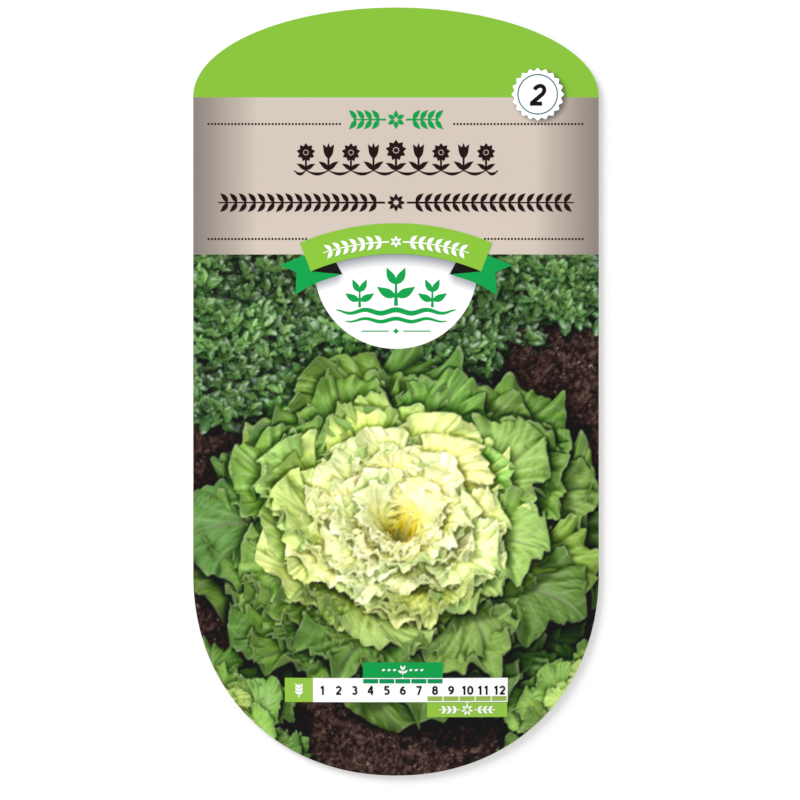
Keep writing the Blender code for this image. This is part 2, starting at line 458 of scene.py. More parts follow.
# %% [markdown]
# ## Layers of ink
# The ribbon, the disc, the seal and the calendar are flat shapes printed over one another. Each is a film
# a few hundredths of a millimetre over the card, shaped as patches: grids of (x, y) that follow the
# shape's own lines. The card's curve then lifts every point, so a film bends with the bulge, and each
# layer lies a little higher than the one before, as ink on ink does.

# %% Films of ink
LAYER = 0.02
INK_DEPTH = 0.014
OVERLAP, HEIGHTS_OF_OVERLAP = 0.0015, 5  # neighbouring patches of a film never lie at one height


def film(name, patches, finish, layer, wrap=False):
    """Patches of (x, y) as slabs: their top is the card's height plus LAYER times the layer number."""
    points, faces, start = [], [], 0
    for number, patch in enumerate(patches):
        x, y = patch[..., 0], patch[..., 1]
        lift = LAYER * layer + OVERLAP * (number % HEIGHTS_OF_OVERLAP)
        top = np.stack([x, y, printed_face(x, y) + lift], -1)
        some_points, some_faces = slab(top, top - [0, 0, INK_DEPTH], wrap=wrap, start=start)
        points.append(some_points)
        faces += some_faces
        start += len(some_points)
    return new_piece(name, np.concatenate(points), faces, finish, "printed_card")


def facing_up(patch):
    """The patch, with its rows turned round where it would face down."""
    along, across = patch[1:, :-1] - patch[:-1, :-1], patch[:-1, 1:] - patch[:-1, :-1]
    turn = (across[..., 0] * along[..., 1] - across[..., 1] * along[..., 0]).sum()
    return patch if turn > 0 else patch[::-1]


def between(low, high, rows=2):
    """A ruled patch: (1 - v) times the low edge plus v times the high edge."""
    v = np.linspace(0, 1, rows)[:, None, None]
    return facing_up((1 - v) * low[None] + v * high[None])


print("a film of ink is", INK_DEPTH, "mm thick, and its layers lie", LAYER, "mm apart")

# %% Lines, curves and strokes


def straight(first, last, count=2):
    """Evenly spaced points on a line: first + s (last - first)."""
    return np.linspace(first, last, count)


def arc(middle, radius, start, end, count):
    """Points on a circle, middle + radius (cos, sin), between two angles in degrees."""
    angle = np.radians(np.linspace(start, end, count))
    return np.stack([middle[0] + radius * np.cos(angle), middle[1] + radius * np.sin(angle)], -1)


def smooth(corners, count):
    """A Catmull-Rom curve through the corners: each span is a cubic that keeps its neighbours' slopes."""
    corners = np.array(corners, float)
    ends = [2 * corners[0] - corners[1]], [2 * corners[-1] - corners[-2]]
    knots = np.concatenate([ends[0], corners, ends[1]])
    where = np.linspace(0, len(corners) - 1, count)
    span = np.minimum(where.astype(int), len(corners) - 2)
    t = (where - span)[:, None]
    a, b, c, d = (knots[span + step] for step in range(4))
    return b + 0.5 * t * (c - a + t * (2 * a - 5 * b + 4 * c - d + t * (3 * (b - c) + d - a)))


def stroke(path, width):
    """A pen stroke: the path moved half its width to the left and right along its normal."""
    slope = np.gradient(path, axis=0)
    slope /= np.linalg.norm(slope, axis=1, keepdims=True)
    aside = np.stack([-slope[:, 1], slope[:, 0]], -1) * (np.broadcast_to(width, len(path)) / 2)[:, None]
    return between(path - aside, path + aside)


print("half a circle in three points:", arc((0, 0), 1, 0, 180, 3).round(2).tolist())

# %% Leaf shapes, dots and mirror images


def blade(base, heading, length, width, curl=0.0):
    """A leaf shape: a stroke as wide as sin(pi s^0.8) at the share s of its length, bent by curl."""
    s = np.linspace(0, 1, 13)
    angle = np.radians(heading) + curl * (s - 0.5)
    step = np.stack([np.cos(angle), np.sin(angle)], -1)[:-1] * length / 12
    path = np.array(base) + np.concatenate([[[0, 0]], np.cumsum(step, 0)])
    return stroke(path, 0.04 + width * np.sin(np.pi * s**0.8) ** 1.1)


def dots(centres, radius):
    """Round dots: a square grid pressed to a disc, x sqrt(1 - y^2/2) and y sqrt(1 - x^2/2)."""
    v, u = np.meshgrid(np.linspace(-1, 1, 4), np.linspace(-1, 1, 4), indexing="ij")
    disc = np.stack([u * np.sqrt(1 - v**2 / 2), v * np.sqrt(1 - u**2 / 2)], -1) * radius
    return [disc + centre for centre in np.array(centres)]


def mirrored(patches, middle=0.0):
    """The patches and their mirror images in an upright line, by default the packet's own middle."""
    return patches + [facing_up(patch * [-1, 1] + [2 * middle, 0]) for patch in patches]


print("a leaf shape has", blade((0, 0), 0, 3, 1).shape, "points")

# %% [markdown]
# ## The garden picture
# The lower two thirds of the card carry a picture of pale-hearted heads of salad leaves in a garden
# bed. A printer would take it from a camera. Here it is grown: each leaf is a bent, frilled surface,
# worked out as a grid of points, tilted towards us and dabbed on to a canvas, where every dot keeps the
# nearest point that falls on it. The whole canvas is then lit at once.
#
# First comes the canvas: height, slope, colour and two traits for each dot, and a second, coarser
# grid that looks along the sun's rays and says what lies in shadow.

# %% The canvas
DOT = 0.105
BLEED = 1.0
LEFT, FOOT = -HALF_WIDTH - BLEED, -HALF_HEIGHT - BLEED
COLUMNS = int(2 * (HALF_WIDTH + BLEED) / DOT)
ROWS = int((PICTURE_LINE + HALF_HEIGHT + 2 * BLEED) / DOT)
SUN = np.array([-0.46, 0.50, 0.73])
SUN /= np.linalg.norm(SUN)
SHADE_DOT = 0.2
SHADE_EDGE = 45.0
BARE = -50.0  # the height of a dot that nothing covers
SHADE_COLUMNS = int((2 * HALF_WIDTH + 2 * SHADE_EDGE) / SHADE_DOT)
SHADE_ROWS = int((PICTURE_LINE + HALF_HEIGHT + 2 * SHADE_EDGE) / SHADE_DOT)
canvas = {
    "height": np.full(ROWS * COLUMNS, BARE),
    "normal": np.zeros((ROWS * COLUMNS, 3)),
    "colour": np.zeros((ROWS * COLUMNS, 3)),
    "traits": np.zeros((ROWS * COLUMNS, 2)),
}
roof = np.full(SHADE_ROWS * SHADE_COLUMNS, BARE)
PLANE_X, PLANE_Y = np.meshgrid(
    LEFT + (np.arange(COLUMNS) + 0.5) * DOT,
    FOOT + (np.arange(ROWS) + 0.5) * DOT,
)
print("canvas:", COLUMNS, "by", ROWS, "dots")

# %% Laying surfaces on the canvas
TILT = np.radians(32)


def smoothstep(low, high, value):
    """0 up to low, 1 from high on, and s^2 (3 - 2 s) between, where s is the share of the way."""
    share = np.clip((value - low) / (high - low), 0, 1)
    return share * share * (3 - 2 * share)


def blend(first, second, share):
    """A colour between two: first (1 - share) + second share."""
    share = np.clip(share, 0, 1)[..., None]
    return first * (1 - share) + second * share


def under_sun(x, y, z):
    """Row and column of the shadow grid where the sun's ray through a point meets the ground."""
    x, y = x - z * SUN[0] / SUN[2], y - z * SUN[1] / SUN[2]
    column = np.clip((x + HALF_WIDTH + SHADE_EDGE) / SHADE_DOT, 0, SHADE_COLUMNS - 1)
    row = np.clip((y + HALF_HEIGHT + SHADE_EDGE) / SHADE_DOT, 0, SHADE_ROWS - 1)
    return row.astype(int), column.astype(int)


def tilted(x, y, z):
    """Garden to picture: turned about X, so that what stands up also rises in the picture."""
    return np.stack([x, y * np.cos(TILT) + z * np.sin(TILT), z * np.cos(TILT) - y * np.sin(TILT)], -1)


def dab(points, colour, under, glow, gloss):
    """Lay a surface on the canvas: its slope is the cross product of its two directions."""
    normal = np.cross(np.gradient(points, axis=0), np.gradient(points, axis=1))
    normal /= np.linalg.norm(normal, axis=-1, keepdims=True) + 1e-12
    back = normal[..., 2] < 0
    normal[back] *= -1
    colour = np.where(back[..., None], under, colour)
    x, y, z = (points[..., axis].ravel() for axis in range(3))
    row, column = under_sun(x, y, z)
    np.maximum.at(roof, row * SHADE_COLUMNS + column, z)
    column, row = ((x - LEFT) / DOT).astype(int), ((y - FOOT) / DOT).astype(int)
    seen = np.flatnonzero((x > LEFT) & (column < COLUMNS) & (y > FOOT) & (row < ROWS))
    place = row[seen] * COLUMNS + column[seen]
    np.maximum.at(canvas["height"], place, z[seen])
    top = z[seen] >= canvas["height"][place]
    seen, place = seen[top], place[top]
    canvas["normal"][place] = normal.reshape(-1, 3)[seen]
    canvas["colour"][place] = colour.reshape(-1, 3)[seen]
    canvas["traits"][place] = glow, gloss


print("a point 10 mm over the ground rises", tilted(0, 0, 10)[1].round(1), "mm in the picture")

# %% [markdown]
# ## One leaf
# A leaf is a function of s, from stalk to tip, and t, from one margin to the other. Its midrib is a
# curve that starts at one slope and bends to another. Waves that run round the margin, and grow
# towards it, make the frill. Side veins leave the midrib at a slant, and the blade puckers between them.

# %% The leaf's surface
POINTS_ALONG, POINTS_ACROSS = 1.4, 1.6  # points of a leaf's grid to a dot of the canvas


def leaf(draw, base, heading, length, width, lift, tip_lift, colours, *, cup, frill, waves, pucker,
         twist, glow, widest=0.78, rib=1.0, gloss=0.1, tooth=0.0):
    """Dab one leaf: its outline is width sin(pi s^k)^0.42, and its frill waves with the angle round it."""
    s, t = np.meshgrid(
        np.linspace(0, 1, max(20, int(length / DOT * POINTS_ALONG))),
        np.linspace(-1, 1, max(16, int(2 * width / DOT * POINTS_ACROSS))), indexing="ij",
    )
    phase = draw.uniform(0, 2 * np.pi, 9)
    # The blade is widest where s^k is a half, and its stalk keeps a little width
    outline = np.sin(np.pi * s ** (np.log(0.5) / np.log(widest))) ** 0.42
    outline = np.maximum(outline, 0.14 * (1 - s) ** 2)
    angle = np.arctan2(t * outline * width, (s - 0.5) * length)
    edge = 1 - (1 - np.abs(t) ** 2.6) * (1 - s**8)
    # The frill's waves and the margin's lobes and teeth
    wave = np.sin(waves * angle + phase[0]) + 0.55 * np.sin(1.83 * waves * angle + phase[1])
    wave += 0.35 * np.sin(3.1 * waves * angle + phase[2]) + 0.16 * np.sin(5.7 * waves * angle + phase[8])
    lobe = 0.10 * np.sin(0.9 * waves * angle + phase[3]) + 0.055 * np.sin(2.3 * waves * angle + phase[4])
    lobe += tooth * (np.abs(np.sin(3.1 * waves * angle)) - 0.6)
    aside = width * outline * t * (1 + lobe * edge)
    # A side vein wherever veins is half way between whole numbers, and bubbles between them
    veins = 8.5 * s - 4.0 * np.abs(t) ** 0.85 * np.clip(outline, 0.2, 1) + phase[5]
    vein = np.exp(-((np.abs(veins % 1 - 0.5) * 10) ** 2))
    vein = vein * smoothstep(0, 0.2, np.abs(t)) * (1 - 0.7 * np.abs(t))
    bubble = np.cos(2 * np.pi * veins) * np.sin(6 * t + phase[6]) + 0.7 * np.sin(17 * s + 9 * t + phase[7])
    bubble += 0.5 * np.sin(31 * s - 23 * t + phase[3]) * np.sin(27 * t + phase[1])
    midrib = rib * np.exp(-((aside / (0.026 * length * (1.3 - s))) ** 2))
    # How far a point stands off the leaf's own middle surface
    off = cup * width * outline * t**2 + frill * length * edge**1.7 * wave * smoothstep(0.05, 0.4, s)
    puckers = pucker * length * bubble * (1 - 0.5 * edge) * smoothstep(0.02, 0.25, np.abs(t))
    off += puckers - 0.012 * length * midrib
    # The midrib's curve, which carries the rest
    bend = np.radians(lift + (tip_lift - lift) * s[:, :1] ** 1.4)
    step = length / (len(s) - 1)
    droop = 0.1 * length * outline * t**2 * smoothstep(0.3, 1, s)
    out = np.cumsum(np.cos(bend) * step)[:, None] - off * np.sin(bend) - droop * np.cos(bend)
    up = np.cumsum(np.sin(bend) * step)[:, None] + off * np.cos(bend) - droop * np.sin(bend)
    turn = heading + twist * s**1.5
    x = base[0] + out * np.cos(turn) - aside * np.sin(turn)
    y = base[1] + out * np.sin(turn) + aside * np.cos(turn)
    # Its colours, from foot to tip, with pale ribs and margin
    foot, tip, pale, under = colours
    colour = blend(foot, tip, smoothstep(0.1, 0.95, s + 0.22 * np.abs(t) - 0.1))
    margin = (0.06 + 0.26 * glow) * smoothstep(0.88, 1.0, edge) * (1 + wave / 2)
    light_parts = 0.8 * midrib * (1.15 - s) + 0.3 * vein * (1 - 0.5 * s) + margin
    mottle = 1 + 0.07 * np.sin(31 * s + 17 * t + phase[0]) * np.sin(13 * s - 29 * t + phase[1])
    colour = blend(colour, pale, light_parts) * mottle[..., None]
    dab(tilted(x, y, base[2] + up), colour, blend(under, colour, 0.25 + 0 * s), glow, gloss)


print("a leaf 20 mm long has", int(20 / DOT * POINTS_ALONG), "rows of points")

# %% [markdown]
# ## Soil, small tufts and the big head
# The soil is ridged hills of many sizes, with some pale grit. Tufts of small dark leaves fill the upper
# part of the bed and stand in bushes, because soft hills lift them together, and their colour is painted
# lighter on the hills and darker in the gaps, as painted shade. The big head has its leaves by the
# golden angle: old ones outside are long, low and green, young ones inside are short, steep and nearly
# white, because no light reaches them as they grow.

# %% Soil


def hills(draw, size, turn):
    """Smooth random hills about size across, from 0 to 1: a turned lattice of random heights."""
    u = (PLANE_X * np.cos(turn) - PLANE_Y * np.sin(turn) + 150) / size
    v = (PLANE_X * np.sin(turn) + PLANE_Y * np.cos(turn) + 150) / size
    lattice = draw.random((int(v.max()) + 3, int(u.max()) + 3))
    i, j = u.astype(int), v.astype(int)
    a, b = smoothstep(0, 1, u - i), smoothstep(0, 1, v - j)
    low = lattice[j, i] * (1 - a) + lattice[j, i + 1] * a
    high = lattice[j + 1, i] * (1 - a) + lattice[j + 1, i + 1] * a
    return low * (1 - b) + high * b


def soil(draw):
    """Clods: for each size, amount times (1 - |2 hills - 1|)^1.3, added up."""
    clods = 0
    for size, amount in ((8, 1.8), (3.4, 1.4), (1.7, 1.1), (0.8, 0.85), (0.4, 0.55), (0.21, 0.22)):
        clods = clods + amount * (1 - np.abs(2 * hills(draw, size, 2.3 * size) - 1)) ** 1.3
    tone = 0.6 * hills(draw, 0.7, 0.4) + 0.4 * hills(draw, 0.25, 1.1)
    colour = blend(linear(40, 27, 27), linear(98, 75, 71), smoothstep(0.25, 0.9, tone))
    grit = hills(np.random.default_rng(3), 0.5, 0.9)
    colour = blend(colour, linear(158, 138, 124), smoothstep(0.9, 0.97, grit))
    ground = np.stack([PLANE_X, PLANE_Y, clods - 5.0 - np.tan(TILT) * PLANE_Y], -1)
    dab(ground, colour, colour, 0.0, 0.03)


sample = hills(np.random.default_rng(1), 8, 0)
print("hills 8 mm across run from", sample.min().round(2), "to", sample.max().round(2))

# %% Leaf colours
# The tones of tips and feet run from the heart's leaves to the outermost ones
TIPS = np.array([
    linear(244, 247, 204), linear(236, 243, 190), linear(200, 220, 140),
    linear(128, 164, 82), linear(106, 143, 68), linear(90, 125, 58),
])
FEET = np.array([
    linear(236, 222, 84), linear(232, 222, 96), linear(208, 210, 106),
    linear(166, 186, 104), linear(136, 164, 92), linear(106, 136, 72),
])
PALE_RIB, SOFT_GREEN = linear(238, 242, 218), linear(196, 208, 160)


def tone_at(tones, share):
    """A leaf colour from heart, 0, to outside, 1."""
    where = np.clip(share, 0, 1) * (len(tones) - 1)
    return np.array([np.interp(where, np.arange(len(tones)), tones[:, part]) for part in range(3)])


print("the tip of a half-old leaf:", tone_at(TIPS, 0.5).round(3))

# %% Heads and tufts
GOLDEN = np.radians(137.508)


def head(draw, middle, size, count, pale=0.16):
    """Leaves by the golden angle, from the old outer ones, age 1, to the heart, age 0."""
    for number in range(count - 1, -1, -1):
        age = number / (count - 1)
        grown = age**0.75
        heading = number * GOLDEN + draw.normal(0, 0.2)
        length = size * (0.40 + 0.62 * grown) * draw.uniform(0.82, 1.1)
        lift = 76 - 56 * grown + draw.normal(0, 6)
        tip_lift = 38 - 56 * grown + draw.normal(0, 15)
        tone = np.clip((age - pale) / (1 - pale), 0, 1) ** 0.76 + draw.normal(0, 0.07)
        jitter_and_shade = 1 + draw.normal(0, 0.04 + 0.03 * age, 3) * [1.0, 0.6, 1.3]
        # Painted shade: outer leaves that point down the picture are painted up to 30 % darker, as if the
        # head shaded them
        jitter_and_shade *= 1 - 0.3 * age * max(-np.sin(heading), 0)
        tip, foot = tone_at(TIPS, tone) * jitter_and_shade, tone_at(FEET, tone) * jitter_and_shade
        reach = size * (0.02 + 0.24 * age)
        base = (
            middle[0] + reach * np.cos(heading), middle[1] + reach * np.sin(heading),
            0.12 * size * (1 - grown),
        )
        colours = (foot, tip, PALE_RIB * (1 - 0.4 * age), tip * 0.8 + SOFT_GREEN * 0.2)
        leaf(
            draw, base, heading, length, length * draw.uniform(0.27, 0.36), lift, tip_lift, colours,
            cup=0.25 - 0.25 * grown + draw.normal(0, 0.1), frill=draw.uniform(0.05, 0.085),
            waves=draw.uniform(8.0, 12.0), pucker=0.0055, twist=draw.normal(0, 0.35),
            glow=0.9 - 0.55 * tone, tooth=0.03,
        )


def tuft(draw, middle, size, count, shade, ground):
    """A rosette of small glossy leaves, steep and light in its middle, low and dark outside."""
    turn = draw.uniform(0, 2 * np.pi)
    for number in range(count - 1, -1, -1):
        age = number / (count - 1)
        tip = (linear(70, 112, 58) * (1 - age) + linear(50, 88, 46) * age) * shade
        foot = linear(120, 156, 88) * shade * (1 - age) + tip * age
        length = size * (0.45 + 0.55 * age) * draw.uniform(0.8, 1.2)
        base = (*middle, ground + draw.uniform(0, 4) * (1 - age))
        lift, tip_lift = 72 - 50 * age + draw.normal(0, 12), 20 - 40 * age + draw.normal(0, 15)
        colours = (foot, tip, linear(150, 184, 124) * shade, tip * 1.6)
        leaf(
            draw, base, turn + number * GOLDEN, length, 0.21 * length, lift, tip_lift, colours,
            cup=0.4, frill=0.03, waves=4.0, rib=0.7, pucker=0.004, twist=draw.normal(0, 0.5),
            glow=0.3, gloss=0.75, widest=0.64,
        )


print("from leaf to leaf the heading turns", round(math.degrees(GOLDEN), 1), "degrees")

# %% Planting
ROW_GAP, TUFT_GAP = 2.9, 3.4


def plant():
    """Soil, then staggered rows of tufts but for one bare patch, then two small heads and the big one."""
    draw = np.random.default_rng(12)
    soil(draw)
    bushes = smoothstep(0.2, 0.8, hills(draw, 9, 0.7))
    for row, y in enumerate(np.arange(44, -8, -ROW_GAP)):
        for x in np.arange(-44 + TUFT_GAP / 2 * (row % 2), 46, TUFT_GAP):
            if np.hypot((x - 38) / 20, (y - 2) / 14) > 1:
                down = min(int((y - FOOT) / DOT), ROWS - 1)
                bush = bushes[down, int(np.clip((x - LEFT) / DOT, 0, COLUMNS - 1))]
                # Painted shade: tufts are painted darker in the gaps between bushes and lighter on them,
                # and a tenth brighter on the left and a tenth darker on the right
                shade = (0.69 + 0.56 * bush) * draw.uniform(0.7, 1.35) * (1.1 if x < 0 else 0.9)
                middle = (x + draw.normal(0, 1.0), y + draw.normal(0, 1.0))
                tuft(draw, middle, 4.7 + draw.normal(0, 0.9), 15, shade, 2.6 * bush - 2.6)
    head(draw, (-38.0, -87.0), 19, 50, pale=-0.5)
    head(draw, (41.0, -83.0), 19, 50, pale=-0.4)
    head(draw, (1.0, -41.0), 38, 210)


plant()
print("dots left bare:", int((canvas["height"] == BARE).sum()))

# %% [markdown]
# ## Light on the canvas
# Every dot is lit by the same sums: sun where nothing on the shadow grid stands over it, sky where the
# ground near it isn't higher, and light through thin leaves from behind. Deep between pale leaves,
# light bounces from leaf to leaf and takes their colour each time, so the colour there is raised to a
# power instead of turning grey.

# %% Blur and shadow


def soften(image, sigma):
    """A Gaussian blur of sigma dots: in the Fourier transform it is a product with a Gaussian."""
    pad = int(3 * sigma) + 1
    wide = np.pad(image, pad, mode="edge")
    fy, fx = np.fft.fftfreq(wide.shape[0])[:, None], np.fft.rfftfreq(wide.shape[1])[None]
    gain = np.exp(-2 * (np.pi * sigma) ** 2 * (fx**2 + fy**2))
    return np.fft.irfft2(np.fft.rfft2(wide) * gain, wide.shape)[pad:-pad, pad:-pad]


def sunlit(height):
    """How much of the sun's disc a dot sees: the share of 17 near shadow rays with nothing over them."""
    row, column = under_sun(PLANE_X, PLANE_Y, height)
    rays = [(0, 0)]
    for reach in (2.2, 4.4):
        for turn in np.arange(8) * np.pi / 4 + reach:
            rays.append((reach * np.sin(turn), reach * np.cos(turn)))
    lit = 0
    for down, right in rays:
        near_row = np.clip(row + round(down), 0, SHADE_ROWS - 1)
        near_column = np.clip(column + round(right), 0, SHADE_COLUMNS - 1)
        over = roof[near_row * SHADE_COLUMNS + near_column] - height
        lit = lit + (1 - smoothstep(0.45, 1.1, over)) / len(rays)
    return lit


spot = np.zeros((9, 9))
spot[4, 4] = 1
print("a lone dot, blurred by one dot, keeps", soften(spot, 1.0)[4, 4].round(2), "of its light")

# %% The lit picture
SKY_RINGS = ((0.45, 0.8, 0.5), (1.3, 2.2, 0.55), (4.0, 6.0, 0.5))  # reach, depth and darkness
SKY_LIGHT, SUN_LIGHT, LEAF_LIGHT = [0.92, 0.99, 1.0], [1.08, 1.0, 0.86], [1.0, 1.0, 0.5]
YOUNG_TINT = [0.1, 0.04, -0.22]  # what a glowing leaf adds to the sky's light


def develop():
    """The lit picture: colour^(1 + depth) times sky, sun and glow, plus a little shine."""
    height = canvas["height"].reshape(ROWS, COLUMNS)
    normal = canvas["normal"].reshape(ROWS, COLUMNS, 3)
    colour = canvas["colour"].reshape(ROWS, COLUMNS, 3)
    glow, gloss = canvas["traits"].reshape(ROWS, COLUMNS, 2).transpose(2, 0, 1)
    lit = sunlit(height)
    sky = np.ones(height.shape)
    for reach, depth, amount in SKY_RINGS:
        sky *= 1 - amount * np.clip((soften(height, reach / DOT) - height) / depth, 0, 1)
    slope = normal @ SUN
    half = SUN + [0, 0, 1]
    shine = gloss * np.clip(normal @ (half / np.linalg.norm(half)), 0, 1) ** 24 * lit * sky
    deep = colour ** (1 + (1 - sky) * (0.3 + 1.5 * glow))[..., None]
    fill = (0.60 + 0.48 * glow) * (0.45 + 0.55 * normal[..., 2]) * sky ** (1.25 - 0.75 * glow)
    sun = 1.05 * np.clip(slope, 0, 1) * lit * (0.55 + 0.45 * sky)
    through = 0.6 * np.clip(0.4 - slope, 0, 1) * glow * (0.4 + 0.6 * lit) * sky
    warm = (glow[..., None] * YOUNG_TINT) + SKY_LIGHT
    light = fill[..., None] * warm + sun[..., None] * SUN_LIGHT
    light = light + through[..., None] * LEAF_LIGHT
    return printed(deep * light + shine[..., None] * 0.55)


picture = np.stack([soften(part, 0.75) for part in develop().transpose(2, 0, 1)], -1)
print("picture mean:", picture.mean((0, 1)).round(3))

# %% [markdown]
# ## The picture as a film
# The picture is printed in six sheets of film, because the export gives each piece one square map: six
# maps keep it sharp. Every point of a sheet takes the picture's colour at its place, as a colour
# attribute, and its own map runs from corner to corner.

# %% The picture's colours and finish


def picture_at(x, y):
    """The picture's colour at (x, y), mixed from the four dots round it."""
    u = np.clip((x - LEFT) / DOT - 0.5, 0, COLUMNS - 1.001)
    v = np.clip((y - FOOT) / DOT - 0.5, 0, ROWS - 1.001)
    i, j = u.astype(int), v.astype(int)
    a, b = (u - i)[..., None], (v - j)[..., None]
    low = picture[j, i] * (1 - a) + picture[j, i + 1] * a
    high = picture[j + 1, i] * (1 - a) + picture[j + 1, i + 1] * a
    return low * (1 - b) + high * b


def picture_print():
    """The sheet's own colour attribute, times a fine grain of 5 % either way."""
    finish = Finish("picture_print", **SHEEN)
    place = finish.place()
    colour = finish.add("Attribute", {"attribute_name": "print"})
    grain = 1 + (finish.noise(place, 7.0, 3.0) - 0.5) * 0.10
    tinted = finish.add("VectorMath", {"operation": "SCALE"}, {0: colour, "Scale": grain})
    rough = 0.44 + (finish.noise(place, 1.5) - 0.5) * 0.1
    return finish.wear(Base_Color=tinted, Roughness=rough, Normal=paper_tooth(finish, place))


print("the picture's colour at the packet's middle:", picture_at(np.zeros(1), np.zeros(1)).round(3))

# %% Sheets of the picture
SHEET_STEPS = 210
COARSE = 6  # steps of a sheet's upper face to one step of its underside


def rows_and_columns(rows, columns):
    """Two grids of shares from 0 to 1: up the rows, and across the columns."""
    return np.meshgrid(np.linspace(0, 1, rows), np.linspace(0, 1, columns), indexing="ij")


def picture_sheet(name, side, heights, finish):
    """One sheet from the middle line to one side, with its rows at these heights."""
    y = np.repeat(heights[:, None], SHEET_STEPS + 1, 1)
    across = np.linspace(min(side, 0), max(side, 0), SHEET_STEPS + 1)
    x = across[None] * half_width(y)
    top = np.stack([x, y, printed_face(x, y) + LAYER], -1)
    points, faces = slab(top, top[::COARSE, ::COARSE] - [0, 0, INK_DEPTH], COARSE)
    # On the map, the upper faces take all but the lowest 2 %, and the walls and the underside a thin strip
    rows, columns = top.shape[:2]
    v, u = rows_and_columns(rows, columns)
    share = np.stack([u, 0.02 + 0.98 * v], -1)
    hidden = np.stack([u, 0.01 * v], -1)
    share = np.concatenate([share.reshape(-1, 2), hidden[::COARSE, ::COARSE].reshape(-1, 2)])
    edge = np.concatenate([hidden.reshape(-1, 2), hidden[::COARSE, ::COARSE].reshape(-1, 2)])
    shown = 4 * (rows - 1) * (columns - 1)

    def flat_map(corner):
        return np.where(np.arange(len(corner))[:, None] < shown, share[corner], edge[corner])

    colours = picture_at(points[:, 0], points[:, 1])
    return new_piece(name, points, faces, finish, "printed_card", colours, flat_map)


SHEET_LINES = (-44.2, -8.0, PICTURE_LINE)
angle = np.linspace(np.pi / 2, np.arcsin((BOTTOM_LINE - SHEET_LINES[0]) / BOTTOM_DEPTH), 241)
HEIGHTS = {
    "low": BOTTOM_LINE - BOTTOM_DEPTH * np.sin(angle),
    "middle": np.linspace(SHEET_LINES[0], SHEET_LINES[1], 181),
    "high": np.linspace(SHEET_LINES[1], SHEET_LINES[2], 181),
}
garden = picture_print()
for row, heights in HEIGHTS.items():
    for word, side in (("left", -1), ("right", 1)):
        sheet = picture_sheet(f"picture_{row}_{word}", side, heights, garden)
        print(sheet.name, len(sheet.data.polygons), "faces")

# %% [markdown]
# ## The disc, the ribbon and its tails
# A white disc hangs under an arched lime ribbon. The ribbon's lower edge is a tighter arc than its upper
# one, so its ends are slanted and a little broader. Its folded tails are emerald with a swallow cut, and
# a near-black triangle is the shade inside each fold. The disc's finish also carries the printed soft
# shadow of the ribbon and its tails.

# %% Disc, tails, folds and ribbon
RIBBON_TOP, TOP_RADIUS = 35.24, 51.3
RIBBON_LINE, LINE_RADIUS = 31.36, 50.95
RIBBON_FOOT, FOOT_RADIUS = 28.79, 45.1
DISC_MIDDLE, DISC_RADIUS = (0.0, 26.0), 17.1


def bow(height, radius, start, stop, count):
    """A line along the ribbon: an arc whose middle, at 90 degrees, is at this height."""
    return arc((0, height - radius), radius, start, stop, count)


def disc_print():
    """White, with a grey shade that fades below the ribbon and under its tails."""
    finish = Finish("disc_print", **SHEEN)
    place = finish.place()
    x, y = finish.parts(place)[:2]
    # Under the ribbon: how far a point lies inside the arc of the ribbon's lower edge
    below = FOOT_RADIUS - round_distance(x, y, (0.0, RIBBON_FOOT - FOOT_RADIUS))
    shade = (1 - below.ramp(-0.4, 3.6)) * 0.93
    # Under the tails: how far it lies above a slanted line, and only well out to both sides
    tail = (abs(x) * 0.351 + y - 28.51) * 0.944
    shade = shade.at_least(tail.ramp(-2.9, 0.3) * abs(x).ramp(10.0, 12.6) * 0.8)
    colour = finish.mix(shade, WHITE, ink(140, 146, 155))
    return finish.wear(Base_Color=colour, Roughness=SATIN, Normal=paper_tooth(finish, place))


# The disc ends 2 mm up under the ribbon, along the ribbon's own lower arc
lower = arc(DISC_MIDDLE, DISC_RADIUS, 180, 360, 61)
hidden = RIBBON_FOOT + 2 - FOOT_RADIUS + np.sqrt(FOOT_RADIUS**2 - lower[:, 0] ** 2)
upper = np.stack([lower[:, 0], hidden], -1)
film("disc", [between(lower, upper, 24)], disc_print(), 2)

TAIL_TOP = smooth([(-24.31, 26.41), (-19.39, 28.42), (-15.5, 29.6)], 9)
TAIL_MIDDLE = smooth([(-20.79, 24.90), (-18.6, 25.8), (-12.2, 26.4)], 9)
TAIL_FOOT = smooth([(-21.09, 20.18), (-16.98, 22.55), (-11.28, 24.55)], 9)
tail = [between(TAIL_MIDDLE, TAIL_TOP, 4), between(TAIL_FOOT, TAIL_MIDDLE, 6)]
film("tails", mirrored(tail), INKS["emerald"], 3)
fold_foot = straight((-17.59, 25.11), (-11.21, 24.50), 7)
fold = between(fold_foot, straight((-17.7, 25.6), (-12.85, 27.6), 7), 3)
film("folds", mirrored([fold]), INKS["black"], 4)
foot = bow(RIBBON_FOOT, FOOT_RADIUS, 113.28, 66.72, 61)
ribbon = between(foot, bow(RIBBON_TOP, TOP_RADIUS, 113.12, 66.88, 61), 9)
film("ribbon", [ribbon], INKS["lime"], 5)
print("ribbon:", len(ribbon), "rows")

# %% Leaf pairs, flowers and ornaments


def leaf_pairs(path, every, length, broad, lean=48):
    """Leaf shapes to both sides of a path, at every so many points, leaning towards its end."""
    slope = np.gradient(path, axis=0)
    heading = np.degrees(np.arctan2(slope[:, 1], slope[:, 0]))
    return [
        blade(path[number], heading[number] + side * lean, length, broad, -side * 0.7)
        for number in range(every, len(path) - 1, every) for side in (-1, 1)
    ]


def flower(middle, petals, length, broad, hole=0.35):
    """Petals round a middle: leaf shapes that start hole away from it."""
    turns = np.arange(petals) * 360 / petals + 90
    return [blade(arc(middle, hole, turn, turn, 1)[0], turn, length, broad) for turn in turns]


def ornament(name, stems, leaves, finish, layer):
    """A film of stems, and a film of leaves, flowers and berries one layer above it."""
    film(name + "_stems", stems, finish, layer)
    film(name + "_leaves", leaves, finish, layer + 1)
    print(name, len(stems), "stems,", len(leaves), "leaves and petals")


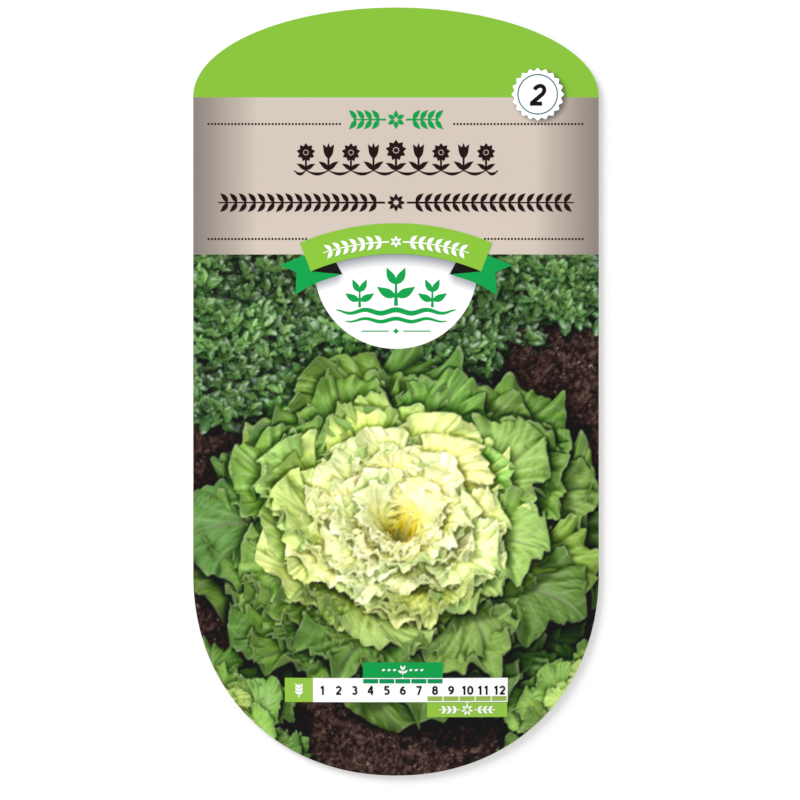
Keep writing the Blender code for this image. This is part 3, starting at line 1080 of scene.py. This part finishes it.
def garland(name, path, widths, pairs, bloom, finish, layer):
    """A stem along the path and its mirror image, leaf pairs on both, and a flower between them."""
    stem = stroke(path, np.linspace(*widths, len(path)))
    ornament(name, mirrored([stem]), mirrored(leaf_pairs(path, *pairs)) + bloom, finish, layer)


spray = bow(RIBBON_LINE, LINE_RADIUS, 88.4, 72.6, 33)
bloom = flower(spray[0] * [0, 1] + [0, 0.02], 6, 1.0, 0.55, 0.25)
garland("ribbon_garland", spray, (0.3, 0.16), (4, 1.95, 0.82), bloom, INKS["white"], 6)

# %% [markdown]
# ## A sprout on the disc
# The disc carries a plain garden sign in emerald: three sprouts over ploughed ground, and a thin rule
# with a lozenge beneath.

# %% The garden sign


def sprout(foot, height, spread):
    """A stem with two pairs of leaves: each leaf is one blade, and the upper pair stands steeper."""
    top = (foot[0], foot[1] + height)
    low = (foot[0], foot[1] + 0.45 * height)
    patches = [stroke(straight(foot, top, 5), np.linspace(0.55, 0.3, 5) * spread / 3)]
    for base, heading, length, broad, curl in ((low, 28, 1.0, 0.42, 0.5), (top, 62, 0.9, 0.36, 0.3)):
        patches.append(blade(base, heading, length * spread, broad * spread, curl))
        patches.append(blade(base, 180 - heading, length * spread, broad * spread, -curl))
    return patches


def furrow(height, reach, depth, thick):
    """A ploughed line: a stroke along a cosine, 6.4 from crest to crest and thin at both ends."""
    x = np.linspace(-reach, reach, 61)
    swell = 0.12 + thick * np.cos(x / reach * np.pi / 2) ** 0.6
    return stroke(np.stack([x, height + depth * np.cos(x * 2 * np.pi / 6.4)], -1), swell)


sign = sprout((0, 17.9), 4.5, 4.5) + mirrored(sprout((-7.6, 17.6), 3.2, 3.4))
sign += [furrow(16.7, 12.6, 0.36, 0.95), furrow(14.9, 10.6, 0.32, 0.7)]
ends = (-0.6, 12.6), (0.6, 12.6)
lozenge = between(*(np.array([ends[0], (0, height), ends[1]]) for height in (12.0, 13.2)))
rules = mirrored([stroke(straight((1.5, 12.6), (7.2, 12.6), 5), 0.24)])
film("garden_sign", sign + rules + [lozenge], INKS["emerald"], 3)
print("sign patches:", len(sign))

# %% [markdown]
# ## Numbers from pen strokes
# The packet's only characters are plain numbers. Each digit is a few straight lines, arcs and smooth
# curves, and a number is those paths, sized, slanted and drawn with the same pen as the stems.

# %% The numbers
PEN = 0.35
DIGIT_STEP, DIGIT_MIDDLE = 1.16, 0.68
ROUND = arc((0, 0.39), 0.38, 0, 360, 25)
TALL = arc((0, 0), 1, 90, 450, 29) * (0.41, 0.68) + (0, 0.68)
HOOK = smooth([(0.28, 1.33), (-0.08, 1.17), (-0.32, 0.8), (-0.38, 0.39)], 13)
DIGITS = {
    "0": [TALL],
    "1": [straight((-0.3, 1.08), (0.08, 1.38)), straight((0.08, 1.53), (0.08, -0.17))],
    "2": [
        np.concatenate([arc((0, 0.97), 0.39, 165, -35, 13), [(-0.34, 0.04)]]),
        straight((-0.46, 0), (0.46, 0)),
    ],
    "3": [arc((-0.03, 1.02), 0.33, 150, -85, 17), arc((-0.03, 0.37), 0.38, 90, -150, 17)],
    "4": [
        straight((0.2, 1.53), (0.2, -0.17)), straight((0.14, 1.4), (-0.44, 0.4)),
        straight((-0.54, 0.36), (0.5, 0.36)),
    ],
    "5": [
        straight((0.4, 1.36), (-0.36, 1.36)), straight((-0.26, 1.4), (-0.31, 0.74)),
        arc((-0.03, 0.41), 0.41, 128, -140, 21),
    ],
    "6": [ROUND, HOOK],
    "7": [straight((-0.46, 1.36), (0.46, 1.36)), straight((0.38, 1.4), (-0.14, -0.17))],
    "8": [arc((0, 1.03), 0.32, 0, 360, 25), ROUND],
    "9": [(0, 1.36) - ROUND, (0, 1.36) - HOOK],
}


def number_strokes(number, middle, size=1.0, pen=PEN, slant=0.0):
    """The pen strokes of a number: slant moves each point aside by that share of its height."""
    text = str(number)
    strokes = []
    for place, digit in enumerate(text):
        for path in DIGITS[digit]:
            path = path + np.array([DIGIT_STEP * (place - (len(text) - 1) / 2), -DIGIT_MIDDLE])
            path = np.stack([path[:, 0] + slant * path[:, 1], path[:, 1]], -1)
            strokes.append(stroke(size * path + middle, pen))
    return strokes


print("the longest number has", len(number_strokes(12, (0, 0))), "strokes")

# %% [markdown]
# ## The seal
# A serrated white seal sits across the line between cap and panel, with a thin teal ring and a plain
# slanted number. Its radius swings between root and tip as a triangle wave of the angle.

# %% The serrated seal
TEETH, TOOTH_POINTS = 20, 6
RING_OUTSIDE, RING_INSIDE = 4.25, 4.01
point = np.arange(TEETH * TOOTH_POINTS)
turn = np.radians(point * 360 / len(point))
tooth = np.abs((point % TOOTH_POINTS) / (TOOTH_POINTS / 2) - 1)
outer = SEAL_ROOT + (SEAL_TIP - SEAL_ROOT) * tooth
circle = np.stack([np.cos(turn), np.sin(turn)], -1)


def rings_of(radii):
    """Rings round the seal's middle, one for each array of radii, going inwards."""
    return np.stack([SEAL_SPOT + radius[:, None] * circle for radius in radii])


even = np.ones(len(turn))
seal = rings_of([outer, 0.96 * outer, 4.2 * even, 2.0 * even, 0.0 * even])
film("seal", [seal], INKS["white"], 2, wrap=True)
film("seal_ring", [rings_of([RING_OUTSIDE * even, RING_INSIDE * even])], INKS["teal"], 3, wrap=True)
film("seal_number", number_strokes(2, (29.8, 62.2), size=2.75, pen=0.85, slant=0.24), INKS["black"], 3)
print("seal teeth:", TEETH)

# %% [markdown]
# ## The title panel's ornament
# The title panel carries plant ornaments: a frieze of daisies and tulips in the middle, a garland under
# it, a small green twig above, and dotted rules at both edges. All but the rules are one leaf shape,
# repeated by small functions, so the panel has one hand.

# %% Dotted rules
RULE_PITCH, RULE_DOT = 0.706, 0.235


def dotted(low, high, height):
    """Points in a row at this height, RULE_PITCH apart from low up to high."""
    x = np.arange(low, high, RULE_PITCH)
    return np.stack([x, np.full(len(x), height)], -1)


UPPER_RULE, LOWER_RULE, RULE_END = 56.07, 31.96, 39.3
rule_dots = np.concatenate([
    dotted(-RULE_END, -11.7, UPPER_RULE), dotted(12.2, RULE_END, UPPER_RULE),
    dotted(-RULE_END, -18.3, LOWER_RULE), dotted(18.65, RULE_END, LOWER_RULE),
])
film("dotted_rules", dots(rule_dots, RULE_DOT), INKS["brown"], 1)
print("rule dots:", len(rule_dots))

# %% Title frieze, garland and twig
FRIEZE_FOOT, FRIEZE_STEP = 46.35, 4.72


def foot_leaves(x, foot, lean, length, broad):
    """Two leaves from a foot, leaning this far from upright to the right and left, and curling out."""
    return [blade((x, foot), 90 + turn, length, broad, turn * 0.012) for turn in (-lean, lean)]


def daisy(x, foot, size):
    """A daisy: a stalk with two leaves, and petals round a dot, size high in all."""
    middle = (x, foot + 0.66 * size)
    petals = flower(middle, 9, 0.25 * size, 0.17 * size, 0.09 * size) + dots([middle], 0.075 * size)
    return petals + foot_leaves(x, foot, 57, 0.42 * size, 0.15 * size)


def tulip(x, foot, size):
    """A tulip: three upright petals from one point, over two leaves."""
    top = foot + 0.42 * size
    petals = [blade((x, top), turn, 0.58 * size, 0.2 * size, (turn - 90) * 0.02) for turn in (90, 68, 112)]
    return petals + foot_leaves(x, foot, 50, 0.5 * size, 0.17 * size)


def scroll(left, right, foot, sag):
    """A link between two feet: a stroke that hangs by sag sin(pi s) and is thickest in its middle."""
    s = np.linspace(0, 1, 17)
    path = np.stack([left + (right - left) * s, foot - sag * np.sin(np.pi * s)], -1)
    return stroke(path, 0.22 + 0.42 * np.sin(np.pi * s) ** 2)


feet = FRIEZE_STEP * np.arange(5)
stalks = [stroke(straight((x, FRIEZE_FOOT), (x, FRIEZE_FOOT + 2.7), 5), 0.42) for x in feet[1:]]
links = [scroll(left, left + FRIEZE_STEP, FRIEZE_FOOT, 0.75) for left in feet[:-1]]
links += [scroll(feet[-1], feet[-1] + 2.5, FRIEZE_FOOT, 0.75)]
blooms = [patch for x in feet[2::2] for patch in daisy(x, FRIEZE_FOOT, 5.7)]
blooms += [patch for x in feet[1::2] for patch in tulip(x, FRIEZE_FOOT, 5.7)]
stem = stroke(straight((0, FRIEZE_FOOT), (0, FRIEZE_FOOT + 3.0), 5), 0.46)
blooms = daisy(0, FRIEZE_FOOT, 6.4) + mirrored(blooms)
ornament("title_frieze", mirrored(stalks + links) + [stem], blooms, INKS["brown"], 1)

VINE_LINE, TWIG_LINE = 39.6, 57.0
vine = straight((2.3, VINE_LINE), (37.3, VINE_LINE), 91)
bloom = flower((0, VINE_LINE), 8, 1.45, 0.75, 0.45)
garland("subtitle_garland", vine, (0.42, 0.26), (5, 2.5, 0.95, 50), bloom, INKS["brown"], 1)

twig = straight((2.1, TWIG_LINE), (8.9, TWIG_LINE), 31)
bloom = flower((0, TWIG_LINE), 6, 1.6, 0.9, 0.35)
garland("green_twig", twig, (0.42, 0.22), (7, 2.5, 1.0, 52), bloom, INKS["emerald"], 1)

# %% [markdown]
# ## The sowing calendar
# A white strip holds one cell a month, numbered. An emerald tab and its cells mark the months to sow, a
# lime tab and its cells the months to pick. The cells are printed a shade duller than their tabs.

# %% The calendar
STRIP = (-17.40, 23.39, -65.03, -59.92)  # left, right, low and high, as in every box here
SMALL_BOX = (-23.27, STRIP[0], *STRIP[2:])
PICK_TAB, SOW_TAB = (6.5, 23.3, -68.2, -65.12), (-6.92, 9.79, -59.85, -56.6)
MONTH, MONTH_GAP = 3.363, 0.24
FIRST_MONTH, NUMBER_LINE, NUMBER_SIZE = -15.38, -62.54, 1.12


def box_patch(left, right, low, high, columns):
    """A rectangle, ruled from its lower edge to its upper one in three rows."""
    return between(*(straight((left, y), (right, y), columns) for y in (low, high)), 3)


def month_cells(count, low, high, left):
    """A row of cells, one a month, with thin gaps."""
    starts = left + MONTH * np.arange(count)
    return [box_patch(start, start + MONTH - MONTH_GAP, low, high, 3) for start in starts]


film("calendar_strip", [box_patch(*STRIP, 25)], INKS["white"], 2)
lime_boxes = [box_patch(*SMALL_BOX, 5), box_patch(*PICK_TAB, 13)]
film("calendar_lime", lime_boxes, INKS["light_lime"], 3)
film("calendar_emerald", [box_patch(*SOW_TAB, 13)], INKS["emerald"], 3)
film("months_to_pick", month_cells(5, -64.8, -63.8, 6.6), INKS["dull_lime"], 3)
film("months_to_sow", month_cells(5, -61.05, -60.12, -6.86), INKS["dull_emerald"], 3)
print("calendar: a strip, a box, two tabs and", len(month_cells(5, 0, 1, 0)) * 2, "cells")

# %% Month numbers
strokes = []
for n in range(12):
    strokes += number_strokes(n + 1, (FIRST_MONTH + MONTH * n, NUMBER_LINE), NUMBER_SIZE, PEN * NUMBER_SIZE)
film("month_numbers", strokes, INKS["black"], 3)
print("pen strokes:", len(strokes))

# %% The marks on the tabs


def notch(x, y, drop):
    """A tiny triangle that points from a tab to its cells."""
    return between(
        straight((x - 0.32, y), (x + 0.32, y), 3),
        straight((x - 0.02, y + drop), (x + 0.02, y + drop), 3),
    )


def seed_row(middle, side, count):
    """Seeds in a row, each a small leaf shape lying on its side."""
    places = middle[0] + side * (1.7 + 1.15 * np.arange(count)) - 0.36
    return [blade((x, middle[1]), 20, 0.75, 0.42) for x in places]


SOW, PICK, CORNER = (1.43, -58.35), (14.9, -66.65), (-20.3, -62.5)
marks = sprout((SOW[0], SOW[1] - 0.95), 1.15, 1.15) + seed_row(SOW, 1, 3) + seed_row(SOW, -1, 3)
marks += flower(PICK, 7, 0.9, 0.42)
stems = mirrored([stroke(straight((PICK[0] + 1.5, PICK[1]), (PICK[0] + 5.9, PICK[1]), 17), 0.16)], PICK[0])
twiglet = straight((PICK[0] + 1.2, PICK[1]), (PICK[0] + 5.7, PICK[1]), 17)
marks += mirrored(leaf_pairs(twiglet, 4, 1.15, 0.46, 42), PICK[0])
ear = straight((CORNER[0], CORNER[1] - 1.6), (CORNER[0], CORNER[1] + 1.3), 13)
marks += leaf_pairs(ear, 3, 1.15, 0.46, 42) + [notch(SOW[0], -59.8, -0.42), notch(PICK[0], -65.2, 0.42)]
ornament("tab_marks", stems + [stroke(ear, 0.2)], marks, INKS["white"], 4)

# %% [markdown]
# ## The back card and the bond
# The back card is the same shape, flat, with its print underneath: the lime cap again, a thin frame and
# ruled lines to write on, so no words are needed. Between the cards runs the bond: a ring of dried
# adhesive set a hair's breadth in from the cut edge, which shows from the side as a thin line.

# %% Back card
FRAME_REACH = 38.5
LINE_PITCH, LINE_DOT = 9.0, 0.9
FIELD_SIDE, FIELD_TOP, FIELD_FOOT = 31.0, 38.0, -42.0


def back_print():
    """Uncoated board with the cap, a band under it, a thin frame and dotted writing lines on it."""
    finish = Finish("back_print", Specular_IOR_Level=0.12)
    place = finish.place()
    x, y = finish.parts(place)[:2]
    fibre = finish.noise(finish.stretch(place, 0.3), 2.0, 5.0)
    board = finish.mix(fibre, ink(228, 224, 214), ink(244, 242, 236))
    # The frame: |x|, or in the round end the distance from its middle, is FRAME_REACH give or take a hair
    reach = (x**2 + (y - BOTTOM_LINE).at_most(0.0) ** 2) ** 0.5
    frame_line = abs(reach - FRAME_REACH).ramp(0.3, 0.22) * (CAP_FOOT - 1.7 - y).ramp(0.0, 0.1)
    # Writing lines: thin bands of distance, cut into dots by a sine along x
    dotted_line = (abs((y / LINE_PITCH + 20.0).fraction() - 0.5) * LINE_PITCH).ramp(0.28, 0.12)
    dot = (x * (2 * math.pi / LINE_DOT)).sine().ramp(-0.2, 0.3)
    field = (FIELD_SIDE - abs(x)).ramp(0.0, 0.2)
    field = field * (FIELD_TOP - y).ramp(0.0, 0.2) * (y - FIELD_FOOT).ramp(0.0, 0.2)
    lines = dotted_line * dot * field
    colour = finish.mix(lines * 0.8, board, ink(90, 140, 70))
    colour = finish.mix(frame_line, colour, EMERALD)
    colour = with_cap(finish, place, y, colour, 0.1)
    band = (y - CAP_FOOT + 2.4).ramp(0.0, 0.1) * (CAP_FOOT - 1.6 - y).ramp(0.0, 0.1)
    colour = finish.mix(band, colour, EMERALD)
    colour = finish.mix(finish.facing().ramp(-0.3, -0.6), board, colour)
    rough = 0.66 + (fibre - 0.5) * 0.12
    return finish.wear(Base_Color=colour, Roughness=rough, Normal=paper_tooth(finish, place, 0.008))


flat = np.stack([X, Y, 0 * X], -1)
back = new_piece("back_card", *slab(flat + [0, 0, CARD], flat), back_print(), "back_card")
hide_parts("back_panel")
print("back card:", len(back.data.polygons), "faces")

# %% The bond


def outline_ring(inset):
    """The outline, anticlockwise, moved inwards by inset along its normal."""
    right = np.stack([half_width(CARD_ROWS), CARD_ROWS], -1)
    loop = np.concatenate([right, right[-2:0:-1] * [-1, 1]])
    slope = np.roll(loop, -1, 0) - np.roll(loop, 1, 0)
    slope /= np.linalg.norm(slope, axis=1, keepdims=True)
    return loop + inset * np.stack([-slope[:, 1], slope[:, 0]], -1)


def bond_finish():
    """Dried adhesive: a clear amber-white gum, glossier where it is thick."""
    finish = Finish("bond", Specular_IOR_Level=0.4)
    place = finish.place()
    thick = finish.noise(place, 0.8, 3.0)
    colour = finish.mix(thick, ink(226, 216, 190), ink(206, 192, 160))
    gum = finish.bump(thick, 0.4, 0.02 * MM)
    return finish.wear(Base_Color=colour, Roughness=0.25 + thick * 0.2, Normal=gum)


BOND_INSETS = (0.16, 1.5, 3.4, RIM - 0.4)
ring_low = np.stack([outline_ring(inset) for inset in BOND_INSETS])
ring_low = np.concatenate([ring_low, np.full_like(ring_low[..., :1], CARD)], -1)
ring = slab(ring_low + [0, 0, RIM_UNDERSIDE - CARD], ring_low, wrap=True)
bond = new_piece("bond", *ring, bond_finish(), "adhesive")
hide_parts("rim_adhesive")
print("bond:", len(bond.data.polygons), "faces")

# %% [markdown]
# ## The sachet and the seeds
# The seeds lie in a small paper sachet. Its flat edge is crimped, which is a row of small ridges pressed
# into both sheets together, so the ridges are a cosine of the distance from the edge. The seeds are
# the packed model's own, with a husk finish: mottled brown with darker flecks.

# %% Sachet
SACHET_HALF = (25.0, 37.0)
SACHET_EDGE = 3.0
SACHET_FOOT, SACHET_PAPER, BED_BASE, SACHET_RISE = 0.6, 0.2, 1.1, 2.1
CRIMP_PITCH, CRIMP = 0.75, 0.05


def sachet_sheet(lift, puff):
    """The sheet's underside: puff times the pillow profile, pinched down to the back sheet at its edge."""
    v, u = rows_and_columns(150, 101)
    x, y = (2 * u - 1) * SACHET_HALF[0], BULGE_MIDDLE + (2 * v - 1) * SACHET_HALF[1]
    inwards = np.minimum(SACHET_HALF[0] - np.abs(x), SACHET_HALF[1] - np.abs(y - BULGE_MIDDLE))
    pressed = 1 - smoothstep(SACHET_EDGE - 1.0, SACHET_EDGE, inwards)
    pillow = hump(x / (SACHET_HALF[0] - SACHET_EDGE))
    pillow = pillow * hump((y - BULGE_MIDDLE) / (SACHET_HALF[1] - SACHET_EDGE))
    ridges = CRIMP * pressed * np.cos(2 * np.pi * inwards / CRIMP_PITCH)
    z = SACHET_FOOT + lift * (1 - pressed) + SACHET_PAPER * (lift > 0) * pressed + puff * pillow + ridges
    return np.stack([x, y, z], -1)


def sachet_finish():
    """Thin buff paper: fibres from a noise that runs long in Y, and brown specks where another peaks."""
    finish = Finish("sachet_paper", Specular_IOR_Level=0.15)
    place = finish.place()
    fibre = finish.noise(finish.stretch(place, 0.2), 1.2, 6.0)
    specks = finish.noise(place, 3.0, 2.0).ramp(0.62, 0.72)
    colour = finish.mix(fibre, ink(214, 200, 170), ink(232, 222, 198))
    colour = finish.mix(specks * 0.35, colour, ink(150, 126, 92))
    tooth = paper_tooth(finish, place, 0.01)
    return finish.wear(Base_Color=colour, Roughness=0.72 + fibre * 0.1, Normal=tooth)


SACHET = sachet_finish()
for name, lift, puff, node in (
    ("sachet_back_sheet", 0.0, 0.0, "sachet_back"),
    ("sachet_front_sheet", BED_BASE - SACHET_FOOT, SACHET_RISE, "sachet_front"),
):
    sheet = sachet_sheet(lift, puff)
    piece = new_piece(name, *slab(sheet + [0, 0, SACHET_PAPER], sheet), SACHET, "sachet_paper")
    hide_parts(node)
    print(name, len(piece.data.polygons), "faces")

# %% Seeds


def husk_finish():
    """Dry husk: mottled browns, with darker flecks that also stand up as a bump."""
    finish = Finish("husk", Specular_IOR_Level=0.25)
    place = finish.place()
    mottle = finish.noise(place, 0.9, 4.0)
    flecks = finish.noise(place, 5.0, 2.0)
    colour = finish.mix(mottle.ramp(0.3, 0.7), ink(92, 66, 40), ink(168, 138, 98))
    colour = finish.mix(flecks.ramp(0.5, 0.8) * 0.5, colour, ink(58, 40, 26))
    relief = finish.bump(flecks, 0.6, 0.05 * MM)
    return finish.wear(Base_Color=colour, Roughness=0.6 + flecks * 0.2, Normal=relief)


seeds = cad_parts["seeds"]
seeds.data.materials.clear()
seeds.data.materials.append(husk_finish())
print("seeds keep their own mesh:", len(seeds.data.polygons), "faces")

# %% [markdown]
# ## Camera, table and light
# The photograph looks straight down on the packet, with its top at the top of the frame. A long lens
# keeps the sides parallel. The ground is pure white, and only a narrow soft shadow shows on the right
# and below, so the light is nearly even, with a little more of it from the upper left.

# %% The camera
VIEW_WIDTH = 167.7
LENS, SENSOR = 135.0, 36.0
VIEW_MIDDLE = (0.84, -1.78)
VIEW_HEIGHT = RIM_UNDERSIDE + CARD + VIEW_WIDTH * LENS / SENSOR
camera_data = bpy.data.cameras.new("camera")
camera_data.lens, camera_data.sensor_width = LENS, SENSOR
camera_data.clip_start, camera_data.clip_end = 0.01, 50
camera = bpy.data.objects.new("camera", camera_data)
camera.location = (VIEW_MIDDLE[0] * MM, VIEW_MIDDLE[1] * MM, VIEW_HEIGHT * MM)
bpy.context.scene.collection.objects.link(camera)
bpy.context.scene.camera = camera
print("camera height:", round(camera.location.z, 4), "m")

# %% The table


def table_finish():
    """Matt white board: a very faint mottle keeps it from being one flat colour."""
    finish = Finish("table", Specular_IOR_Level=0.0)
    mottle = finish.noise(finish.place(), 0.05, 2.0)
    colour = finish.mix(mottle, (0.897, 0.897, 0.897), (0.911, 0.911, 0.911))
    return finish.wear(Base_Color=colour, Roughness=0.9 + mottle * 0.05)


TABLE_SIDE, TABLE_DROP = 12000, 0.02
up, side = rows_and_columns(3, 3)
TABLE = np.stack([(side - 0.5) * TABLE_SIDE, (up - 0.5) * TABLE_SIDE, 0 * up - TABLE_DROP], -1)
table_mesh = bpy.data.meshes.new("table")
squares = quads(np.arange(9).reshape(3, 3), False)
table_mesh.from_pydata((TABLE.reshape(-1, 3) * MM).tolist(), [], squares.tolist())
table_mesh.materials.append(table_finish())
table = bpy.data.objects.new("table", table_mesh)
bpy.context.scene.collection.objects.link(table)
print("table:", len(table_mesh.polygons), "faces")

# %% Sky and sun
SKY_SHARE = 0.855
world = bpy.data.worlds.new("studio")
world.use_nodes = True
world.node_tree.nodes["Background"].inputs["Color"].default_value = (1.0, 1.0, 1.0, 1.0)
world.node_tree.nodes["Background"].inputs["Strength"].default_value = SKY_SHARE
bpy.context.scene.world = world
bpy.context.scene.view_settings.view_transform = "Standard"

# Daylight: a wide sun from the upper left. Its angle softens the narrow shadow on the right and below.
SUN_SHARE, SUN_TILT, SUN_TURN, SUN_ANGLE = 0.285, 67, 135, 28
daylight = bpy.data.lights.new("daylight", "SUN")
daylight.angle = math.radians(SUN_ANGLE)
daylight.energy = SUN_SHARE * math.pi / math.cos(math.radians(SUN_TILT))
sun = bpy.data.objects.new("daylight", daylight)
sun.rotation_euler = (0, math.radians(SUN_TILT), math.radians(SUN_TURN))
bpy.context.scene.collection.objects.link(sun)
print("strength of the sun:", round(daylight.energy, 3))
